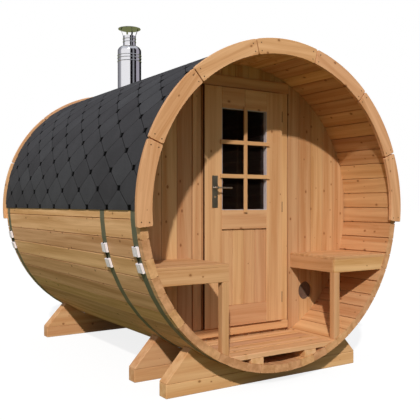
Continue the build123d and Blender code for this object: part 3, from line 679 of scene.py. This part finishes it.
bench_spruce = spruce("spruce_bench", "#daa97b", "#c08957", spread=0.07, knots=0.5)
bench_x = 0.4397
bench_out = 1.05
seat_z = (0.785, 0.804)
apron_z = (0.695, 0.7848)
apron_t = 0.02
leg_z = (0.05, 0.6948)
leg_w = 0.048
dice = random.Random(61)
seats, aprons, legs = bmesh.new(), bmesh.new(), bmesh.new()
for side in (-1, 1):
    seat = clip(sided(side, bench_x, bench_out, *seat_z), inside)
    plank(seats, seat, *porch, X, Y, dice)
    apron = clip(sided(side, bench_x, bench_out, *apron_z), inside)
    plank(aprons, apron, porch[0], porch[0] + apron_t, X, Z, dice)
    apron = clip(sided(side, bench_x, bench_x + apron_t, *apron_z), inside)
    plank(aprons, apron, porch[0] + apron_t + 0.0002, porch[1], Y, Z, dice)
    leg = clip(sided(side, bench_x, bench_x + leg_w, *leg_z), inside)
    plank(legs, leg, porch[0], porch[0] + leg_w, Z, X, dice)
wooden("bench_seats", seats, bench_spruce, ["bench_seats"], edge=0.002)
wooden("bench_aprons", aprons, bench_spruce, ["bench_aprons"], edge=0.002)
wooden("bench_legs", legs, bench_spruce, ["bench_legs"], edge=0.002)

# ---------------------------------------- bands
# Three flat steel bands, 60 mm wide, are pulled tight round the staves. Each closes
# with two folded zinc-plated lugs and a threaded rod on the left side.

# Steel drawn green-grey, a painted reflection of the green ground round it, mottled in broad patches with a
# browner tone.
made, t = material("steel_with_painted_green_reflection")
where = add(t, "TexCoord").outputs["Object"]
broad = add(t, "TexNoise", {"Vector": where, "Scale": 7.0, "Detail": 5.0}).outputs[0]
worn = add(t, "MapRange", {0: broad, 1: 0.4, 2: 0.7, 3: 0.0, 4: 1.0}).outputs[0]
shade = add(t, "Mix", {0: worn, 6: srgb("#62634f"), 7: srgb("#786d54")}, data_type="RGBA").outputs[2]
finish_material(t, add(t, "BsdfPrincipled", {"Base Color": shade, "Roughness": 0.5}).outputs[0])
dress("steel_bands", made)
# Fresh zinc plating on the lugs, nearly white in the sun.
zinc = mottled("zinc_plated_steel", "#fbf3f7", "#eae2e8", 45.0, 0.45)
# The rods, dark with thread grease.
rod_metal = metal("greased_threaded_rod", "#4b463c", 0.5, tint="#3a352c")
lugs, rods = bmesh.new(), bmesh.new()
joint = 31 * stave_step
lug_seat = 1.0507
lug_half = 0.030
lug_t = 0.016
lug_bend = 0.003
lug_slide = 0.009
rod_seat, rod_r, rod_len = 1.0585, 0.005, 0.17
outline = ((0, -lug_half), (lug_t - lug_bend, -lug_half), (lug_t, lug_bend - lug_half),
           (lug_t, lug_half - lug_bend), (lug_t - lug_bend, lug_half), (0, lug_half))
for y in (-1.208, -0.784, 1.208):
    for side in (-1, 1):
        # Two halves, with the seam of the fold between them.
        for w0, w1 in ((-lug_half, -0.0007), (0.0007, lug_half)):
            turn = math.radians(joint + side * stave_step / 2)
            shape = []
            for out, slide in outline:
                r, u = lug_seat + out, slide - side * lug_slide
                shape.append((r * math.cos(turn) - u * math.sin(turn),
                              axis_z + r * math.sin(turn) + u * math.cos(turn)))
            plank(lugs, shape, y + w0, y + w1, X, Z, dice)
    x, z = rim(rod_seat, joint)
    place = Matrix.Translation((x, y, z)) @ Matrix.Rotation(-math.radians(joint), 4, "Y")
    round_bar(rods, rod_r, rod_len, place, 24)
wooden("band_tensioners", lugs, zinc, ["band_tensioners"], edge=0.001)
wooden("tensioner_rods", rods, rod_metal, [], edge=0)

# ---------------------------------------- shingles
# The upper half is covered with mineral-faced bitumen shingles: diamond tabs, 307 mm
# wide and 228 mm high, each row half a tab along from the one below, with a small
# notch where the corners meet. The lowest row hangs 7 mm below the middle.

# Crushed slate in bitumen: a charcoal ground with pale and dark grains about 1.5 mm
# across, and tabs that differ a little in tone.
slate, t = material("slate_faced_bitumen")
where = add(t, "TexCoord").outputs["Object"]
tone = add(t, "Attribute", attribute_name="tone").outputs["Fac"]
grit = add(t, "TexVoronoi", {"Vector": where, "Scale": 650.0})
speck = add(t, "SeparateColor", {0: grit.outputs["Color"]}).outputs[0]
cloud = add(t, "TexNoise", {"Vector": where, "Scale": 6.0, "Detail": 4.0}).outputs[0]
ground = add(t, "Mix", {0: tone, 6: srgb("#3b3a3d"), 7: srgb("#444447")}, data_type="RGBA").outputs[2]
light = add(t, "MapRange", {0: speck, 1: 0.0, 2: 1.0, 3: 0.72, 4: 1.28}).outputs[0]
patch = add(t, "MapRange", {0: cloud, 1: 0.3, 2: 0.7, 3: 0.9, 4: 1.1}).outputs[0]
both = add(t, "Math", {0: light, 1: patch}, operation="MULTIPLY").outputs[0]
shade = add(t, "HueSaturation", {"Color": ground, "Value": both}).outputs[0]
relief = add(t, "Bump", {"Height": speck, "Strength": 0.25, "Distance": 0.0006}).outputs[0]
look = add(t, "BsdfPrincipled", {"Base Color": shade, "Roughness": 0.95, "Normal": relief,
                                 "Specular IOR Level": 0.2})
finish_material(t, look.outputs[0])
# The black bitumen underneath, which shows in the notches and along the lower edge. It is drawn near black,
# blacker than bitumen, as painted shade in the notches, and the same black paints a shadow along one upper
# edge of each tab.
bitumen_and_painted_shadow = mottled("black_bitumen_and_painted_shadow", "#060606", "#0e0e0f", 90.0, 0.9, shine=0.03)

under_r = 1.0522
skin_r = 1.0548
lift = 0.0022
row_deg = 6.18
tab_w = 0.3071
low_deg = -0.36
cut_back = 0.0006
notch = 0.020
shadow_band = 0.007
dice = random.Random(71)
under, far_tabs, near_tabs = bmesh.new(), bmesh.new(), bmesh.new()
steps = 60
under_top = skin_r - 0.0012
section = ((under_r, front_y), (under_r, back_y), (under_top, back_y), (under_top, front_y))
ring = [[under.verts.new((rim(r, a)[0], y, rim(r, a)[1])) for r, y in section]
        for a in (low_deg + (180 - 2 * low_deg) * i / steps for i in range(steps + 1))]
for a, b in zip(ring, ring[1:]):
    for j in range(4):
        under.faces.new((a[j], b[j], b[(j + 1) % 4], a[(j + 1) % 4]))
under.faces.new(ring[0])
under.faces.new(ring[-1][::-1])
under.verts.layers.float.new("tone")


def tab(mesh, y, centre, side, tone):
    """One diamond tab as a thin closed sheet, bent to the barrel and lifted at its lower
    edges. Its side corners are cut off, which leaves the notches, and a painted shadow,
    a band of the black bitumen along one upper edge, deepens the line below its neighbour."""
    layer = mesh.verts.layers.float.get("tone") or mesh.verts.layers.float.new("tone")
    shares = [0.07, 0.16, 0.26, 0.36, 0.5 - notch / tab_w, 0.5 + notch / tab_w, 0.64, 0.74, 0.84, 0.93]
    bottom = max(0.0, (low_deg + row_deg - centre) / row_deg / 2)
    top = min(1.0, (90 + row_deg - centre) / row_deg / 2)
    shares = [v for v in shares if bottom + 0.01 < v < top - 0.01]
    shares = ([bottom] if bottom > 0 else []) + shares + ([top] if top < 1 else [])
    rows = []
    for share in shares:
        a = centre - row_deg + 2 * row_deg * share
        half = tab_w / 2 * (1 - abs(2 * share - 1)) - cut_back
        half = max(0.0015, min(half, tab_w / 2 - notch))
        y0, y1 = max(y - half, front_y), min(y + half, back_y)
        if y1 - y0 < 0.003:
            continue
        band = min(y0 + (shadow_band if share > 0.5 else 0.0006), y1 - 0.0005)
        foot, top = skin_r - 0.0015, skin_r + lift * (1 - share) + 0.0006
        row = []
        for r, yy in ((foot, y0), (foot, y1), (top, y1), (top, band), (top, y0)):
            x, z = rim(r, a if side > 0 else 180 - a)
            row.append(mesh.verts.new((x, yy, z)))
            row[-1][layer] = tone
        rows.append(row)
    if len(rows) < 2:
        return
    for a, b in zip(rows, rows[1:]):
        for j in range(5):
            face = mesh.faces.new((a[j], a[(j + 1) % 5], b[(j + 1) % 5], b[j]))
            face.material_index = 1 if j == 3 else 0
    mesh.faces.new(rows[0][::-1])
    mesh.faces.new(rows[-1])


row_start = (0.41265, 0.56595)
for side in (-1, 1):
    for row in range(15):
        centre = 0.5 + row * row_deg
        first = front_y + row_start[row % 2] - 4.5 * tab_w
        for k in range(14):
            y = first + k * tab_w
            if y + tab_w / 2 > front_y + 0.01 and y - tab_w / 2 < back_y - 0.01:
                beside_flue = row > 11 and abs(y - flue_y) < 0.3
                tab(near_tabs if beside_flue else far_tabs, y, centre, side, dice.random())
base = wooden("shingle_underlay", under, bitumen_and_painted_shadow, ["roof_shingles"], edge=0)
bore(base, *flue_hole)
wooden("roof_shingles", far_tabs, [slate, bitumen_and_painted_shadow], [], edge=0)
around = wooden("roof_shingles_at_flue", near_tabs, [slate, bitumen_and_painted_shadow], [], edge=0)
bore(around, *flue_hole)

# ---------------------------------------- trims
# Seven curved boards, sawn from wide spruce planks, are screwed over the stave ends at
# the front and at the back. Their corners are rounded, and a screw sits near each
# corner.

trim_spruce = spruce("spruce_trim", "#e4ae82", "#c88d5f", spread=0.05, knots=0.6)
trim_in, trim_out = 0.978, 1.076
trim_y = ((-1.3066, -1.2802), (1.2802, 1.3066))


def softened(shape, radius):
    """An outline with its sharp corners rounded."""
    made = []
    for i, p in enumerate(shape):
        a, b = Vector(shape[i - 1]), Vector(shape[(i + 1) % len(shape)])
        p = Vector(p)
        one, two = (a - p).normalized(), (b - p).normalized()
        if abs(one.angle(two) - math.pi) < 0.5:
            made.append(tuple(p))
            continue
        for t in (0, 0.25, 0.5, 0.75, 1):
            made.append(tuple(p + one * radius * (1 - t) ** 2 + two * radius * t ** 2))
    return made


dice = random.Random(83)
trim_low_deg = -5.7
trim_count = 7
sweep = (180 - 2 * trim_low_deg) / trim_count
half_gap = math.degrees(0.0035 / trim_out)
screws = []
for end, name in enumerate(("front_trim", "back_trim")):
    ring = bmesh.new()
    for i in range(trim_count):
        a0 = trim_low_deg + i * sweep + half_gap
        a1 = trim_low_deg + (i + 1) * sweep - half_gap
        outer = [rim(trim_out, a0 + (a1 - a0) * j / 12) for j in range(13)]
        inner = [rim(trim_in, a1 + (a0 - a1) * j / 12) for j in range(13)]
        turn = math.radians((a0 + a1) / 2)
        along = Vector((-math.sin(turn), 0, math.cos(turn)))
        across = Vector((math.cos(turn), 0, math.sin(turn)))
        plank(ring, softened(outer + inner, 0.011), *trim_y[end], along, across, dice)
        for a, r in ((a0 + 1.3, 1.0), (a0 + 1.6, 1.05), (a1 - 1.3, 1.0), (a1 - 1.6, 1.05)):
            screws.append((*rim(r, a), end))
    wooden(name, ring, trim_spruce, [name], edge=0.002, segments=2)
# Countersunk screws, 8 mm across, darker than the wood round them.
screw_metal = metal("yellow_zinc_screw", "#6a553a", 0.45, tint="#544330")
heads = bmesh.new()
for x, z, end in screws:
    y = trim_y[0][0] if end == 0 else trim_y[1][1]
    round_bar(heads, 0.004, 0.0007, Matrix.Translation((x, y, z)) @ lie_back, 12)
wooden("trim_screws", heads, screw_metal, [], edge=0)

# ---------------------------------------- flue
# The flue: a twin-wall stainless pipe 218 mm across comes through the roof with three
# rolled beads and closes in a shoulder round the inner pipe, 118 mm across, which
# carries a flat rain cap on four splayed straps.

# Bright rolled stainless steel, a clean mirror with faint rolling marks round it.
stainless, t = material("bright_stainless_steel")
where = add(t, "TexCoord").outputs["Object"]
long = add(t, "VectorMath", {0: where, 1: (3.0, 3.0, 160.0)}, operation="MULTIPLY").outputs[0]
rolled = add(t, "TexNoise", {"Vector": long, "Scale": 1.0, "Detail": 3.0}).outputs[0]
polish = add(t, "MapRange", {0: rolled, 1: 0.3, 2: 0.7, 3: 0.06, 4: 0.14}).outputs[0]
relief = add(t, "Bump", {"Height": rolled, "Strength": 0.05, "Distance": 0.0005}).outputs[0]
look = add(t, "BsdfPrincipled", {"Base Color": srgb("#efeef0"), "Metallic": 1.0, "Roughness": polish,
                                 "Normal": relief})
finish_material(t, look.outputs[0])


def bead(radius, z, height):
    """Points up the outside of a rolled bead."""
    return [(radius + height * math.sin(math.pi * j / 6), z - height + 2 * height * j / 6) for j in range(7)]


def lathe(name, side, finish, nodes, closed=True):
    """A piece turned about the flue's axis from its (radius, height) outline."""
    turns = 96
    made = bmesh.new()
    rings = []
    for i in range(turns):
        a = 2 * math.pi * i / turns
        rings.append([made.verts.new((r * math.cos(a), flue_y + r * math.sin(a), z)) for r, z in side])
    count = len(side)
    for i in range(turns):
        here, there = rings[i], rings[(i + 1) % turns]
        for j in range(count if closed else count - 1):
            k = (j + 1) % count
            made.faces.new((here[j], there[j], there[k], here[k]))
    bmesh.ops.remove_doubles(made, verts=made.verts, dist=0.00001)
    bmesh.ops.recalc_face_normals(made, faces=made.faces)
    for face in made.faces:
        face.smooth = True
    for edge in made.edges:
        if len(edge.link_faces) == 2 and edge.calc_face_angle(0) > math.radians(35):
            edge.smooth = False
    return wooden(name, made, finish, nodes, edge=0)


pipe_low = 2.107
pipe_r, pipe_in = 0.109, 0.0594
liner_r, liner_in = 0.059, 0.057
bead_r = 0.004
shoulder_z, shoulder_high = 2.5862, 0.046
side = [(pipe_in, pipe_low), (pipe_r, pipe_low)]
for z in (2.488, 2.519, 2.544):
    side += bead(pipe_r, z, bead_r)
side += [(pipe_r, 2.5858), (pipe_in, 2.5858)]
lathe("chimney_outer_pipe", side, stainless, ["chimney_outer_pipe"])
side = [(liner_in, pipe_low), (liner_r, pipe_low)]
for z in (2.672, 2.699):
    side += bead(liner_r, z, bead_r)
side += [(liner_r, 2.727), (liner_in, 2.727)]
lathe("chimney_liner", side, stainless, ["chimney_liner"])
shoulder = []
for j in range(9):
    a = math.pi / 2 * j / 8
    shoulder.append((pipe_r - 0.0475 * (1 - math.cos(a)) ** 0.9, shoulder_z + shoulder_high * math.sin(a)))
side = [(pipe_in, shoulder_z)] + shoulder + [(0.0612, 2.636), (pipe_in, 2.636)]
lathe("chimney_cone", side, stainless, ["chimney_cone"])
side = [(0.0002, 2.793), (0.104, 2.793), (0.1045, 2.7945), (0.104, 2.796), (0.05, 2.8035), (0.0002, 2.8099)]
lathe("chimney_cap_disc", side, stainless, ["chimney_cap"])
straps = bmesh.new()
path = [(0.0593, 2.707), (0.0593, 2.730), (0.064, 2.745), (0.082, 2.7925)]
strap_t, strap_half = 0.0018, 0.008
section = ((0, -strap_half), (strap_t, -strap_half), (strap_t, strap_half), (0, strap_half))
for i in range(4):
    turn = Matrix.Translation((0, flue_y, 0)) @ Matrix.Rotation(math.radians(45 + 90 * i), 4, "Z")
    rows = [[straps.verts.new(turn @ Vector((r + s, w, z))) for s, w in section] for r, z in path]
    for a, b in zip(rows, rows[1:]):
        for j in range(4):
            k = (j + 1) % 4
            straps.faces.new((a[j], a[k], b[k], b[j]))
    straps.faces.new(rows[0][::-1])
    straps.faces.new(rows[-1])
wooden("chimney_cap_straps", straps, stainless, [], edge=0)

# ---------------------------------------- view
# Sun from the front left at 36 degrees, a soft sky, a white floor that keeps the
# object's shadow, and the photograph's viewpoint.

scene = bpy.context.scene
data = bpy.data.cameras.new("camera")
data.lens = 54.426
data.sensor_width = 36
data.clip_end = 200
camera = bpy.data.objects.new("camera", data)
camera.location = (-2.6511, -4.4123, 1.1699)
camera.rotation_euler = (math.radians(90 - 0.6075), 0, math.radians(-33.4715))
scene.collection.objects.link(camera)
scene.camera = camera
scene.view_settings.view_transform = "Standard"

sun = bpy.data.lights.new("sun", "SUN")
sun.energy = 3.1
sun.angle = math.radians(1.6)
sun.color = (1.0, 0.97, 0.93)
lamp = bpy.data.objects.new("sun", sun)
lamp.rotation_euler = Vector((0.474, 0.651, -0.594)).to_track_quat("-Z", "Y").to_euler()
scene.collection.objects.link(lamp)

world = bpy.data.worlds.new("sky")
scene.world = world
world.use_nodes = True
t = world.node_tree
t.nodes.clear()
way = add(t, "TexCoord").outputs["Generated"]
parts = add(t, "SeparateXYZ", {0: way})
height = add(t, "MapRange", {0: parts.outputs[2], 1: -0.15, 2: 0.45, 3: 0.0, 4: 1.0}).outputs[0]
sky = add(t, "Mix", {0: height, 6: srgb("#a9a8a0"), 7: srgb("#a3aab8")}, data_type="RGBA").outputs[2]
soft = add(t, "Background", {"Color": sky, "Strength": 0.85}).outputs[0]
# What metal and glass mirror: the pale studio, with dark screens in front of the
# object and on its right, given by their bearing about the object.
bearing = add(t, "Math", {0: parts.outputs[1], 1: parts.outputs[0]}, operation="ARCTAN2").outputs[0]
turn = add(t, "MapRange", {0: bearing, 1: -math.pi, 2: math.pi, 3: 0.0, 4: 1.0}).outputs[0]
screens = add(t, "ValToRGB", {0: turn})
ramp = screens.color_ramp
stops = ((-180, "#f4f4f6"), (-111, "#f4f4f6"), (-108, "#0b0b0c"), (-86, "#0b0b0c"), (-84, "#86868b"),
         (-70, "#86868b"), (-67, "#0b0b0c"), (-48, "#0b0b0c"), (-45, "#a7a3ad"), (-6, "#a7a3ad"),
         (-3, "#141416"), (56, "#1c1c1e"), (100, "#6d6d72"), (150, "#a5a5aa"), (158, "#f4f4f6"))
for place, (degrees, colour) in enumerate(stops):
    if place > 1:
        ramp.elements.new((degrees + 180) / 360)
    ramp.elements[place].position = (degrees + 180) / 360
    ramp.elements[place].color = srgb(colour)
zenith = add(t, "MapRange", {0: parts.outputs[2], 1: 0.55, 2: 0.8, 3: 0.0, 4: 1.0}).outputs[0]
mirrored = add(t, "Mix", {0: zenith, 6: screens.outputs[0], 7: srgb("#c9ccd3")}, data_type="RGBA").outputs[2]
studio = add(t, "Background", {"Color": mirrored, "Strength": 1.0}).outputs[0]
plain = add(t, "Background", {"Color": (1, 1, 1, 1), "Strength": 1.0}).outputs[0]
path = add(t, "LightPath")
gloss = add(t, "MixShader", {0: path.outputs["Is Glossy Ray"], 1: soft, 2: studio}).outputs[0]
seen = add(t, "MixShader", {0: path.outputs["Is Camera Ray"], 1: gloss, 2: plain}).outputs[0]
add(t, "OutputWorld", {"Surface": seen})

# The floor is white to the camera, with a faint shadow. To the light that it throws
# back at the barrel's underside it is a dull green.
made, t = material("studio_floor")
glow = add(t, "Emission", {"Color": (1, 1, 1, 1), "Strength": 0.84}).outputs[0]
chalk = add(t, "BsdfDiffuse", {"Color": (0.2, 0.2, 0.2, 1)}).outputs[0]
lit = add(t, "AddShader", {0: glow, 1: chalk}).outputs[0]
green = add(t, "BsdfDiffuse", {"Color": srgb("#7a7e54")}).outputs[0]
path = add(t, "LightPath")
finish_material(t, add(t, "MixShader", {0: path.outputs["Is Camera Ray"], 1: green, 2: lit}).outputs[0])
floor = bmesh.new()
bmesh.ops.create_grid(floor, x_segments=1, y_segments=1, size=60)
data = bpy.data.meshes.new("studio_floor")
floor.to_mesh(data)
floor.free()
data.materials.append(made)
ground = bpy.data.objects.new("studio_floor", data)
scene.collection.objects.link(ground)
